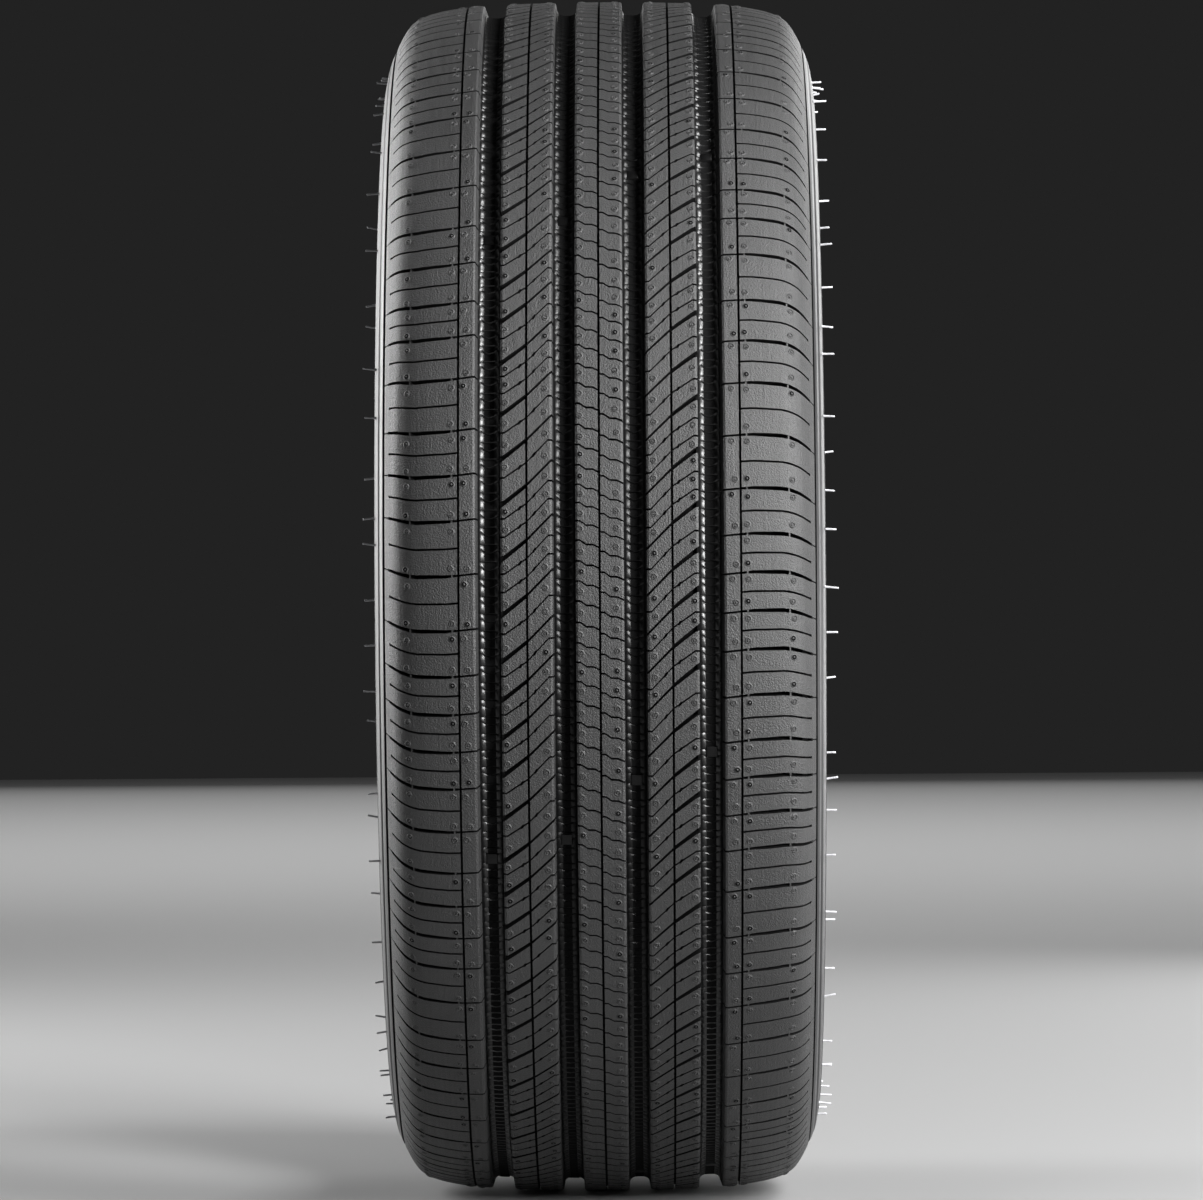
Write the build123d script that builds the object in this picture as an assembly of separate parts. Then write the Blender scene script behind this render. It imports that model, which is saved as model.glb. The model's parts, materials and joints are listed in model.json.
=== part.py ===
"""A passenger car tyre, moulded in one piece: tread, two sidewalls, two beads and the liner inside.

The tyre turns about +Y, with its centre at the origin. A point of it has a radius from that axis,
a side distance v along Y from the middle plane, and an angle from +X towards +Z.
"""

from build123d import *

import os
from itertools import pairwise
from math import atan, cos, degrees, radians, sin, tan

# Overall sizes, in millimetres
OUTER_DIAMETER = 668.7
SECTION_WIDTH = 236.4
RIM_DIAMETER = 462.0
RIM_WIDTH = 203.2

# Tread, from the middle outwards
CENTRE_RIB = 24.8
INNER_GROOVE = 12.1
MIDDLE_RIB = 26.8
OUTER_GROOVE = 13.2
SHOULDER_LAND = 28.7
GROOVE_DEPTH = 7.2
GROOVE_WALL_RUN = 2.5
CROWN_RADIUS = 1400.0
LAND_RADIUS = 380.0
SHOULDER_RADIUS = 23.3
SHOULDER_END_ANGLE = 78.5
SHOULDER_CHORDS = 2
PARTING_STEP = 0.9

# Pitches: each is a block and the slot before it, in the order that they follow round the tread
SHORT_PITCH = 20.15
MIDDLE_PITCH = 24.05
LONG_PITCH = 28.65
PITCH_ORDER = (
    "LLMMMLLLMMSMLMMLLMSSSMMSSSMLMMLLLMSMMLLMSSM"
    "MLMMSSSMLLMMSMMSSMMLLMMMLMSSSMMLLMSSMMLMMLM"
)
FIRST_PITCH_ANGLE = 72.75
SIDE_SHIFT_ANGLE = 12.77

# Slots, each a wedge that runs out at the surface
SHOULDER_SLOT_WIDTH = 1.9
SHOULDER_SLOT_START = 8.7
SHOULDER_SLOT_END = 2.0
RIB_SLOT_WIDTH = 1.9
RIB_SLOT_DEPTH_SHARE = 0.7
RIB_SLOT_OFFSET = 7.8
RIB_SLOT_REACH = 14.0
RIB_SLOT_RISE = 11.2

# Casing
BEAD_WIDTH = 19.6
BEAD_LEAN = 8.0
APEX_THICKNESS = 14.0
SIDEWALL_THICKNESS = 8.0
UPPER_WALL_THICKNESS = 5.5
UNDERTREAD = 9.4
LINER_SHOULDER_INSET = 16.0

# Heights on the sidewall, as shares of the height from the bead seat to the crown
FLANGE_TOP, BAND_LOW, BAND_HIGH = 0.2, 0.3, 0.6
BEAD_TOP, APEX_TOP, LINER_LOW, LINER_HIGH = 0.16, 0.29, 0.47, 0.665

outer_radius = OUTER_DIAMETER / 2
seat_radius = RIM_DIAMETER / 2
half_section = SECTION_WIDTH / 2
bead_face = RIM_WIDTH / 2
toe = bead_face - BEAD_WIDTH
rib_edge = CENTRE_RIB / 2
middle_in = rib_edge + INNER_GROOVE
middle_out = middle_in + MIDDLE_RIB
land_in = middle_out + OUTER_GROOVE
land_out = land_in + SHOULDER_LAND
rib_slot_depth = RIB_SLOT_DEPTH_SHARE * GROOVE_DEPTH
slot_overrun = 1.2 * GROOVE_WALL_RUN


def tread_radius(v):
    """Radius of the tread surface: one wide crown arc, and a tighter one past the middle ribs."""
    past = max(0.0, v - middle_out)
    return outer_radius - v**2 / (2 * CROWN_RADIUS) - past**2 / (2 * LAND_RADIUS)


def height(share):
    """Radius at a share of the height from the bead seat to the crown."""
    return seat_radius + share * (outer_radius - seat_radius)


def side_between(first, last, radius):
    """Side distance v at a radius, on the straight line between two (v, radius) points."""
    (v0, r0), (v1, r1) = first, last
    return v0 + (v1 - v0) * (radius - r0) / (r1 - r0)


def groove(start, width):
    """The four corners of a main groove, with sloping walls, as (v, radius)."""
    end = start + width
    floor = tread_radius(start + width / 2) - GROOVE_DEPTH
    return [
        (start, tread_radius(start)),
        (start + GROOVE_WALL_RUN, floor),
        (end - GROOVE_WALL_RUN, floor),
        (end, tread_radius(end)),
    ]


def shoulder_round():
    """Points along the shoulder's rounding, from the land's outer edge to the parting step."""
    start_angle = degrees(atan(land_out / CROWN_RADIUS + (land_out - middle_out) / LAND_RADIUS))
    points = []
    for i in range(SHOULDER_CHORDS + 1):
        angle = radians(start_angle + (SHOULDER_END_ANGLE - start_angle) * i / SHOULDER_CHORDS)
        out = SHOULDER_RADIUS * (sin(angle) - sin(radians(start_angle)))
        down = SHOULDER_RADIUS * (cos(radians(start_angle)) - cos(angle))
        points.append((land_out + out, tread_radius(land_out) - down))
    return points


def pitch_angles():
    """Angles where the pitches of the -Y half start, scaled to close the turn."""
    length_of = {"S": SHORT_PITCH, "M": MIDDLE_PITCH, "L": LONG_PITCH}
    lengths = [length_of[letter] for letter in PITCH_ORDER]
    angles = [FIRST_PITCH_ANGLE]
    for length in lengths[:-1]:
        angles.append(angles[-1] - 360 * length / sum(lengths))
    return angles


def other_side(left):
    """Angles of the +Y half: the same pitches, turned, and listed from the one nearest the first."""
    right = [angle + SIDE_SHIFT_ANGLE for angle in left]
    nearest = min(range(len(right)), key=lambda i: abs(right[i] - left[0]))
    return right[nearest:] + right[:nearest]


def place(v, radius, angle):
    """A point from its side distance, radius and angle in degrees."""
    return Vector(radius * cos(radians(angle)), v, radius * sin(radians(angle)))


def tread_band(profile, left, right):
    """The tread as a closed drum with one flat for each pitch, its profile given from the middle out."""
    turns = [(i, (i + 1) % len(left)) for i in range(len(left))]
    faces = []
    for side, angles in ((-1, left), (1, right)):
        for (v0, r0), (v1, r1) in pairwise(profile):
            for i, j in turns:
                corners = [(v0, r0, i), (v0, r0, j), (v1, r1, j), (v1, r1, i)]
                faces.append(Face(Wire.make_polygon([place(side * v, r, angles[k]) for v, r, k in corners])))
        edge_v, edge_radius = profile[-1]
        faces.append(Face(Wire.make_polygon([place(side * edge_v, edge_radius, a) for a in angles])))
    rim_v, rim_radius = profile[0]
    for i, j in turns:
        near, far = place(-rim_v, rim_radius, left[i]), place(rim_v, rim_radius, right[j])
        faces.append(Face(Wire.make_polygon([near, place(-rim_v, rim_radius, left[j]), far])))
        faces.append(Face(Wire.make_polygon([near, far, place(rim_v, rim_radius, right[i])])))
    return Solid(Shell(faces))


def ring(half_outline):
    """Turns an outline of (v, radius) points on the +Y side, and its mirror image, about the axis."""
    points = [(r, v) for v, r in half_outline] + [(r, -v) for v, r in reversed(half_outline)]
    return revolve(make_face(Polyline(*points, close=True)), axis=Axis.Y)


def wedge(start, end, half_angle):
    """A slot cutter: a V that opens away from the axis, with its bottom along a straight line."""
    run = (end - start).normalized()
    first = start - run * slot_overrun
    out = Vector(1, 0, 0)
    out = (out - run * out.dot(run)).normalized()
    tall = GROOVE_DEPTH + SHOULDER_RADIUS / 2
    wide = run.cross(out) * tall * tan(half_angle)
    section = Face(Wire.make_polygon([first, first + out * tall + wide, first + out * tall - wide]))
    return extrude(section, amount=(end - start).length + 2 * slot_overrun, dir=run)


def shoulder_slot(profile_round):
    """Cutter for one cross slot of the -Y shoulder, from the land over the rounding."""
    (v0, r0), (v1, r1) = profile_round[-2:]
    start_v, end_v = land_in + SHOULDER_SLOT_START, v1 - SHOULDER_SLOT_END
    start_r, end_r = tread_radius(start_v), r0 + (r1 - r0) * (end_v - v0) / (v1 - v0)
    bottom = start_r + (end_r - start_r) * (land_out - start_v) / (end_v - start_v)
    half_angle = atan(SHOULDER_SLOT_WIDTH / 2 / (tread_radius(land_out) - bottom))
    return wedge(place(-start_v, start_r, 0), place(-end_v, end_r, 0), half_angle)


def rib_slot():
    """Cutter for one slanted slot of the -Y middle rib, from the outer groove inwards."""
    inner_v = middle_out - RIB_SLOT_REACH
    start_angle = degrees(RIB_SLOT_OFFSET / outer_radius)
    end_angle = degrees((RIB_SLOT_OFFSET + RIB_SLOT_RISE) / outer_radius)
    start = place(-middle_out, tread_radius(middle_out) - rib_slot_depth, start_angle)
    end = place(-inner_v, tread_radius(inner_v), end_angle)
    return wedge(start, end, atan(RIB_SLOT_WIDTH / 2 / rib_slot_depth))


def tyre():
    """The whole tyre as one solid."""
    left = pitch_angles()
    right = other_side(left)
    rounding = shoulder_round()
    profile = groove(rib_edge, INNER_GROOVE) + groove(middle_out, OUTER_GROOVE) + rounding
    parting_v, parting_radius = rounding[-1]
    floor = tread_radius(middle_out + OUTER_GROOVE / 2) - GROOVE_DEPTH
    wall_top = (parting_v, parting_radius - PARTING_STEP)
    band_top = (half_section, height(BAND_HIGH))
    upper_wall = min(half_section, side_between(band_top, wall_top, height(LINER_HIGH)))

    walls = ring([
        wall_top,
        band_top,
        (half_section, height(BAND_LOW)),
        (bead_face, height(FLANGE_TOP)),
        (bead_face, seat_radius / 2),
    ])
    hollow = ring([
        (toe, seat_radius / 2),
        (toe, seat_radius),
        (toe + BEAD_LEAN, height(BEAD_TOP)),
        (half_section - APEX_THICKNESS, height(APEX_TOP)),
        (half_section - SIDEWALL_THICKNESS, height(LINER_LOW)),
        (upper_wall - UPPER_WALL_THICKNESS, height(LINER_HIGH)),
        (parting_v - LINER_SHOULDER_INSET, floor - UNDERTREAD),
    ])
    core = Rot(X=90) * Cylinder(parting_radius - SIDEWALL_THICKNESS, 3 * parting_v)
    bore = Rot(X=90) * Cylinder(seat_radius, 3 * bead_face)
    slots = [rib_slot(), shoulder_slot(rounding)]
    cutters = [Rot(Y=-angle) * slot for angle in left for slot in slots]
    cutters += [Rot(Y=-angle) * Rot(X=180) * slot for angle in right for slot in slots]
    return tread_band(profile, left, right) - core + walls - hollow - bore - cutters


os.makedirs("parts", exist_ok=True)
export_step(tyre(), "parts/tyre.step")
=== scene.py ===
"""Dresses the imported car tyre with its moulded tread, notched grooves, casing, vent marks and vent hairs.

Flat tread coordinates are used for every surface: s runs round the tyre from +X towards +Z, u runs along
the section, and h stands off it. Each sub-assembly lays out small flat cells in millimetres, and Geometry
Nodes repeat them, bend them onto the section and wrap them round the axis.
"""

import json
import logging
import math
from collections.abc import Sequence
from dataclasses import dataclass
from enum import Enum
from itertools import accumulate
from random import Random

import bpy
from mathutils import Matrix, Vector
from mathutils.geometry import delaunay_2d_cdt


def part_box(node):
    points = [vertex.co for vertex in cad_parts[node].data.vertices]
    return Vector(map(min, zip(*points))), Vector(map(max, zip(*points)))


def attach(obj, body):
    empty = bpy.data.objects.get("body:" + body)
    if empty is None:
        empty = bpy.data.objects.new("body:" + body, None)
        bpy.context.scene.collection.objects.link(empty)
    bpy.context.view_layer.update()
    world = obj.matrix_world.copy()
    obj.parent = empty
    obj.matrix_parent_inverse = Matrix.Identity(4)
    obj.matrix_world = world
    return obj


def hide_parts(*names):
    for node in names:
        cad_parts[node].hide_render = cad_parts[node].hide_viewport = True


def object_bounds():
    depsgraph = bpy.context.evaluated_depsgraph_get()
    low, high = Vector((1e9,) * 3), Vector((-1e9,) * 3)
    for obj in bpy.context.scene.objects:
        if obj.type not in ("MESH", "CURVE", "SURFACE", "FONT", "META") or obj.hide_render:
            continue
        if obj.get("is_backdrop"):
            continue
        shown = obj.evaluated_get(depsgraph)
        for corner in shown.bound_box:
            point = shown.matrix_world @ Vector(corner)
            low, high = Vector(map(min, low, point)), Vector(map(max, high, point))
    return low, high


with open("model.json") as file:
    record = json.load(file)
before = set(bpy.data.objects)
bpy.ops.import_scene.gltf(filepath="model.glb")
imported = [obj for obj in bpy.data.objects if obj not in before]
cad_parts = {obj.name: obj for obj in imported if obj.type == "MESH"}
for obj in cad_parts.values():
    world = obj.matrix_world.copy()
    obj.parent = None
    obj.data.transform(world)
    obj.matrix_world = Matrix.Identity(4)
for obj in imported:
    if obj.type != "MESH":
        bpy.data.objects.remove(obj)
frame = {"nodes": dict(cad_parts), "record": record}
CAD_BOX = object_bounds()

MM = 0.001
BODY = "root"
NODE = "tyre"
LOG = logging.getLogger("tyre")

MERGE_DISTANCE = 2e-5
# Faces whose amount of painted shade passes this take the dark shade finish.
PAINTED_SHADE_FROM = 0.3
CORNERS = ((-1, -1), (1, -1), (1, 1), (-1, 1))

Point = tuple[float, float]
Triple = tuple[float, float, float]
Spot = tuple[float, float, float, float]
Table = Sequence[Point]
Points = Sequence[Triple]
Faces = Sequence[Sequence[int]]
Numbers = Sequence[float]
Inputs = dict[str | int, object]
Object = bpy.types.Object
Mesh = bpy.types.Mesh
Material = bpy.types.Material
Socket = bpy.types.NodeSocket


class Side(Enum):
    """The half of the tread that a row of cells belongs to."""

    LEFT = -1
    RIGHT = 1


class Pitch(Enum):
    """A tread pitch: its place in the cell list, its length in millimetres and its parts between sipes."""

    SHORT = (0, 20.15, 2)
    MIDDLE = (1, 24.05, 2)
    LONG = (2, 28.65, 3)

    def __init__(self, index: int, length: float, parts: int) -> None:
        """Names the three numbers."""
        self.index, self.length, self.parts = index, length, parts


def blend_between(table: Table, x: float) -> float:
    """Reads a table of (x, y) rows with straight lines between them.

    Args:
        table: Rows in rising order of x.
        x: Where to read it.

    Returns:
        The value there, held at the ends.
    """
    if x <= table[0][0]:
        return table[0][1]
    for (x0, y0), (x1, y1) in zip(table, table[1:]):
        if x <= x1:
            return y0 + (y1 - y0) * (x - x0) / (x1 - x0)
    return table[-1][1]


def rows_between(fixed: Numbers, step: float) -> list[float]:
    """Fills the gaps between fixed rows with more rows.

    Args:
        fixed: Rows that have to stay.
        step: Widest gap.

    Returns:
        All the rows, in rising order.
    """
    ordered = sorted(set(fixed))
    rows = [ordered[0]]
    for low, high in zip(ordered, ordered[1:]):
        count = max(1, math.ceil((high - low) / step))
        rows += [low + (high - low) * i / count for i in range(1, count)] + [high]
    return rows


def circle(radius: float, sides: int, h: float = 0.0) -> list[Triple]:
    """Points of a ring round the origin, at a height."""
    turns = [math.tau * i / sides for i in range(sides)]
    return [(radius * math.cos(turn), radius * math.sin(turn), h) for turn in turns]


def loft(rings: Sequence[Points]) -> tuple[list[Triple], list[list[int]]]:
    """Joins rings of as many points each, and closes the last one.

    Args:
        rings: The rings, from the foot up.

    Returns:
        The points and the faces.
    """
    points = [point for ring in rings for point in ring]
    sides, top = len(rings[0]), len(points) - len(rings[0])
    around = [(i, (i + 1) % sides) for i in range(sides)]
    faces = [[a + i, a + j, a + j + sides, a + i + sides] for a in range(0, top, sides) for i, j in around]
    return points, [*faces, list(range(top, len(points)))]


def mix_at(a: Vector, b: Vector, start: float, end: float, t: float) -> Vector:
    """Point at t on the straight line from a, at start, to b, at end."""
    return a * ((end - t) / (end - start)) + b * ((t - start) / (end - start))


def smooth_line(knots: Table, step: float) -> list[Point]:
    """Draws a smooth line through the knots of a section.

    Args:
        knots: Points (v, radius) that the line passes through.
        step: Distance between the points of the line, about.

    Returns:
        The line's points, with every knot among them.
    """
    first = (2 * knots[0][0] - knots[1][0], 2 * knots[0][1] - knots[1][1])
    last = (2 * knots[-1][0] - knots[-2][0], 2 * knots[-1][1] - knots[-2][1])
    held = [Vector(p) for p in (first, *knots, last)]
    line: list[Point] = []
    for p0, p1, p2, p3 in zip(held, held[1:], held[2:], held[3:]):
        t1 = math.sqrt((p1 - p0).length)
        t2 = t1 + math.sqrt((p2 - p1).length)
        t3 = t2 + math.sqrt((p3 - p2).length)
        count = max(2, round((p2 - p1).length / step))
        for i in range(count):
            t = t1 + (t2 - t1) * i / count
            a1, a2, a3 = mix_at(p0, p1, 0, t1, t), mix_at(p1, p2, t1, t2, t), mix_at(p2, p3, t2, t3, t)
            b1, b2 = mix_at(a1, a2, 0, t2, t), mix_at(a2, a3, t1, t3, t)
            line.append(tuple(mix_at(b1, b2, t1, t2, t)))
    return [*line, tuple(knots[-1])]


@dataclass(frozen=True)
class TyreSizes:
    """Overall sizes in millimetres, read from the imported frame."""

    outer_radius: float
    seat_radius: float
    half_section: float
    half_rim: float

    @classmethod
    def from_frame(cls) -> "TyreSizes":
        """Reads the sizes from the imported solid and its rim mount.

        Returns:
            The sizes.
        """
        radii = [math.hypot(v.co.x, v.co.z) for v in frame["nodes"][NODE].data.vertices]
        rim = frame["record"]["mounts"][0]["dims"]
        return cls(max(radii) / MM, rim["r_mm"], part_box(NODE)[1].y / MM, rim["length_mm"] / 2)


class Workshop:
    """Keeps the helper objects that the trees read, and turns trees into plain meshes."""

    helpers: list[Object] = []

    @classmethod
    def keep(cls, name: str, data: bpy.types.ID) -> Object:
        """Makes a helper object that stays in the scene until the end of the build.

        Args:
            name: Its name.
            data: Its mesh or curve.

        Returns:
            The object.
        """
        helper = bpy.data.objects.new(name, data)
        bpy.context.scene.collection.objects.link(helper)
        helper.hide_render = True
        cls.helpers.append(helper)
        return helper

    @classmethod
    def clear(cls) -> None:
        """Removes every helper object."""
        for helper in cls.helpers:
            bpy.data.objects.remove(helper)
        cls.helpers.clear()

    @staticmethod
    def mesh(name: str, points: Points, faces: Faces, values: dict[str, Numbers]) -> Mesh:
        """Makes a mesh from points in millimetres.

        Args:
            name: The mesh's name.
            points: Its points.
            faces: Its faces.
            values: Number attributes of its points, by name.

        Returns:
            The mesh, in metres.
        """
        mesh = bpy.data.meshes.new(name)
        mesh.from_pydata([[c * MM for c in point] for point in points], [], faces)
        for key, numbers in values.items():
            mesh.attributes.new(key, "FLOAT", "POINT").data.foreach_set("value", numbers)
        mesh.update()
        return mesh

    @classmethod
    def cell(cls, name: str, points: Points, faces: Faces, deep: Numbers, wave: Numbers = ()) -> Object:
        """Makes a flat cell of (s, u, h) points, each with an amount of painted shade (deep) from 0 to 1 and
        a move along s in m.
        """
        values = {"deep": deep, "wave": wave or [0.0] * len(points)}
        return cls.keep(name, cls.mesh(name, points, faces, values))

    @staticmethod
    def bake(tree: "GeoTree", mesh: Mesh, settings: dict[str, object]) -> Object:
        """Runs a tree on a mesh and keeps the result as a plain mesh.

        Args:
            tree: The tree to run.
            mesh: The mesh that it starts from, which also names the piece.
            settings: Values of the tree's inputs, by name.

        Returns:
            The finished object, at the origin and with no modifier.
        """
        piece = bpy.data.objects.new(mesh.name, mesh)
        modifier = piece.modifiers.new("build", "NODES")
        modifier.node_group = tree.tree
        for key, value in settings.items():
            modifier[tree.identifiers[key]] = value
        bpy.context.scene.collection.objects.link(piece)
        depsgraph = bpy.context.evaluated_depsgraph_get()
        ready = piece.evaluated_get(depsgraph)
        done = bpy.data.meshes.new_from_object(ready, preserve_all_data_layers=True, depsgraph=depsgraph)
        piece.modifiers.clear()
        piece.data = done
        bpy.data.meshes.remove(mesh)
        done.name = piece.name
        return piece


class Section:
    """A line of the tyre's section, which cells are bent onto."""

    start = 0.0

    def __init__(self, name: str, knots: Table, step: float) -> None:
        """Draws the line, and makes it a curve in the plane of Y and Z.

        Args:
            name: Name of the curve object.
            knots: Points (v, radius) in millimetres.
            step: Distance between the line's points.
        """
        self.line = smooth_line(knots, step)
        self.arcs = list(accumulate(map(math.dist, self.line, self.line[1:]), initial=0.0))
        self.length = self.arcs[-1]
        data = bpy.data.curves.new(name, "CURVE")
        data.dimensions = "3D"
        spline = data.splines.new("POLY")
        spline.points.add(len(self.line) - 1)
        for point, (v, r) in zip(spline.points, self.line):
            point.co = (0, v * MM, r * MM, 1)
        self.curve = Workshop.keep(name, data)

    def arc_near(self, v: float, radius: float) -> float:
        """Distance along the line to its point nearest to a place in the section."""
        return self.arcs[min(range(len(self.line)), key=lambda i: math.dist(self.line[i], (v, radius)))]


class TreadSection(Section):
    """The tread's outer line from parting line to parting line, with u counted from the middle."""

    DROPS: Table = (
        (0, 0), (20, 0.14), (40, 0.57), (51.3, 0.95), (64.5, 1.6), (73.2, 2.35), (82.5, 3.6), (91, 5.3),
        (98, 7.5), (101, 8.95), (104.5, 11.55), (107.7, 15.6), (110.4, 20.3), (112.1, 23.7),
    )
    STEP = 1.0

    def __init__(self, sizes: TyreSizes) -> None:
        """Draws the line under the tyre's outer radius.

        Args:
            sizes: The tyre's overall sizes.
        """
        half = [(v, sizes.outer_radius - drop) for v, drop in self.DROPS]
        super().__init__("tread_section", [(-v, r) for v, r in half[:0:-1]] + half, self.STEP)
        self.start = self.length / 2
        self.places = [(v, arc) for (v, _), arc in zip(self.line, self.arcs)]

    def u(self, v: float) -> float:
        """Place u of a side distance v from the middle plane."""
        return blend_between(self.places, v) - self.start


@dataclass(frozen=True)
class PitchRow:
    """The order in which the pitches follow each other round the tread, down from the top."""

    order: str = (
        "LLMMMLLLMMSMLMMLLMSSSMMSSSMLMMLLLMSMMLLMSSM"
        "MLMMSSSMLLMMSMMSSMMLLMMMLMSSSMMLLMSSMMLMMLM"
    )
    first_angle: float = 72.75
    side_shift: float = 12.77

    @property
    def pitches(self) -> list[Pitch]:
        """The pitches in order."""
        kinds = {pitch.name[0]: pitch for pitch in Pitch}
        return [kinds[letter] for letter in self.order]

    @property
    def turn(self) -> float:
        """Length of one turn of the tread."""
        return sum(pitch.length for pitch in self.pitches)

    def at_angle(self, angle: float) -> float:
        """Place round the tread of an angle in degrees from +X towards +Z."""
        return self.turn * angle / 360

    def slots(self, side: Side) -> list[float]:
        """Places of the shoulder slots of one side, from the top down."""
        first = self.at_angle(self.first_angle + (self.side_shift if side is Side.RIGHT else 0.0))
        return list(accumulate((-pitch.length for pitch in self.pitches), initial=first))

    def cells(self, side: Side) -> list[tuple[float, Pitch]]:
        """Places and pitches of the cells of one side: a right cell is a left one turned half round."""
        first = 1 if side is Side.RIGHT else 0
        return list(zip(self.slots(side)[first:], self.pitches))

    def parts(self, side: Side, offset: float) -> list[float]:
        """Places of the lines that divide a middle rib's blocks, at an offset from the shoulder slots."""
        return [
            place + offset - pitch.length * i / pitch.parts
            for place, pitch in zip(self.slots(side), self.pitches)
            for i in range(pitch.parts)
        ]


class NodeTree:
    """A node tree under construction."""

    def __init__(self, tree: bpy.types.NodeTree) -> None:
        """Takes up the tree."""
        self.tree = tree

    def node(self, kind: str, inputs: Inputs | None = None, out: str | int = 0, **settings: object) -> Socket:
        """Adds a node.

        Args:
            kind: The node's type.
            inputs: What each input is linked from or set to.
            out: The output that is wanted.
            settings: The node's own settings.

        Returns:
            That output.
        """
        node = self.tree.nodes.new(kind)
        for key, value in settings.items():
            setattr(node, key, value)
        for key, value in (inputs or {}).items():
            if isinstance(value, Socket):
                self.link(value, node.inputs[key])
            else:
                node.inputs[key].default_value = value
        return node.outputs[out]

    def link(self, source: Socket, target: Socket) -> None:
        """Links two sockets."""
        self.tree.links.new(source, target)

    def math(self, operation: str, a: object, b: object = 0.0) -> Socket:
        """Adds a math node."""
        return self.node("ShaderNodeMath", {0: a, 1: b}, operation=operation)

    def xyz(self, **axes: object) -> Socket:
        """Makes a vector from its X, Y and Z."""
        return self.node("ShaderNodeCombineXYZ", axes)

    def split(self, vector: Socket) -> list[Socket]:
        """Divides a vector into its X, Y and Z."""
        return list(self.node("ShaderNodeSeparateXYZ", {0: vector}).node.outputs)

    def mix(self, share: object, a: object, b: object) -> Socket:
        """Mixes two numbers."""
        return self.node("ShaderNodeMix", {0: share, 2: a, 3: b}, data_type="FLOAT")

    def noise(self, vector: Socket, scale: float, detail: float, rough: float = 0.5) -> Socket:
        """Adds a noise texture."""
        inputs = {"Vector": vector, "Scale": scale, "Detail": detail, "Roughness": rough}
        return self.node("ShaderNodeTexNoise", inputs)

    def ranged(self, value: Socket, low: float, high: float, to: Point) -> Socket:
        """Maps a range of numbers to another."""
        return self.node("ShaderNodeMapRange", {0: value, 1: low, 2: high, 3: to[0], 4: to[1]})


class GeoTree(NodeTree):
    """A geometry node tree, with a geometry input, other named inputs and a geometry output."""

    def __init__(self, name: str) -> None:
        """Starts the tree.

        Args:
            name: Its name.
        """
        super().__init__(bpy.data.node_groups.new(name, "GeometryNodeTree"))
        self.tree.interface.new_socket("Geometry", in_out="OUTPUT", socket_type="NodeSocketGeometry")
        self.entry = self.tree.nodes.new("NodeGroupInput")
        self.exit = self.tree.nodes.new("NodeGroupOutput")
        self.identifiers: dict[str, str] = {}
        self.geometry = self.input("Geometry", "Geometry")

    def input(self, name: str, kind: str = "Float") -> Socket:
        """Adds a named input.

        Args:
            name: Its name.
            kind: Its socket type, such as Float or Object.

        Returns:
            The socket to link from.
        """
        item = self.tree.interface.new_socket(name, in_out="INPUT", socket_type=f"NodeSocket{kind}")
        self.identifiers[name] = item.identifier
        return next(s for s in self.entry.outputs if s.identifier == item.identifier)

    def named(self, name: str) -> Socket:
        """Reads a number attribute of the points by its name."""
        return self.node("GeometryNodeInputNamedAttribute", {"Name": name}, data_type="FLOAT")

    def shape(self, source: Socket) -> Socket:
        """Reads the shape of an object."""
        return self.node("GeometryNodeObjectInfo", {"Object": source}, "Geometry")

    def compare(self, operation: str, a: Socket, b: object, **more: object) -> Socket:
        """Compares two numbers."""
        return self.node("FunctionNodeCompare", {0: a, 1: b, **more}, operation=operation)

    def spread(self, shape: Socket, euler: Socket, scale: Socket, chosen: object = True) -> Socket:
        """Puts turned and scaled copies of a shape on the points that are chosen."""
        turn = self.node("FunctionNodeEulerToRotation", {"Euler": euler})
        return self.node("GeometryNodeInstanceOnPoints", {
            "Points": self.geometry, "Selection": chosen, "Instance": shape, "Rotation": turn, "Scale": scale,
        })

    def smooth(self, mesh: Socket) -> Socket:
        """Shades the faces of a mesh smoothly."""
        return self.node("GeometryNodeSetShadeSmooth", {0: mesh}, domain="FACE")

    def coat(self, mesh: Socket, material: Socket, chosen: object = True) -> Socket:
        """Gives a material to the faces that are chosen."""
        return self.node("GeometryNodeSetMaterial", {0: mesh, "Selection": chosen, "Material": material})

    def finish(self, geometry: Socket) -> None:
        """Links the tree's output."""
        self.link(geometry, self.exit.inputs[0])


class WrapTree(GeoTree):
    """Bends flat cells onto a section and wraps them round the Y axis."""

    def __init__(self) -> None:
        """Builds the tree."""
        super().__init__("wrap_round_axis")
        profile = self.shape(self.input("Section", "Object"))
        start, turn = self.input("Section Start"), self.input("Turn Length")

        s, u, h = self.split(self.node("GeometryNodeInputPosition"))
        along = {"Curves": profile, "Length": self.math("ADD", u, start)}
        sample = self.node("GeometryNodeSampleCurve", along, mode="LENGTH").node.outputs
        _, spot_v, spot_r = self.split(sample["Position"])
        _, lean_v, lean_r = self.split(sample["Tangent"])
        side = self.math("SUBTRACT", spot_v, self.math("MULTIPLY", lean_r, h))
        radius = self.math("ADD", spot_r, self.math("MULTIPLY", lean_v, h))
        angle = self.math("MULTIPLY", self.math("DIVIDE", s, turn), math.tau)
        x = self.math("MULTIPLY", radius, self.math("COSINE", angle))
        z = self.math("MULTIPLY", radius, self.math("SINE", angle))
        place = {"Geometry": self.geometry, "Position": self.xyz(X=x, Y=side, Z=z)}
        moved = self.node("GeometryNodeSetPosition", place)
        self.finish(self.node("GeometryNodeFlipFaces", {"Mesh": moved}))


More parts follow.
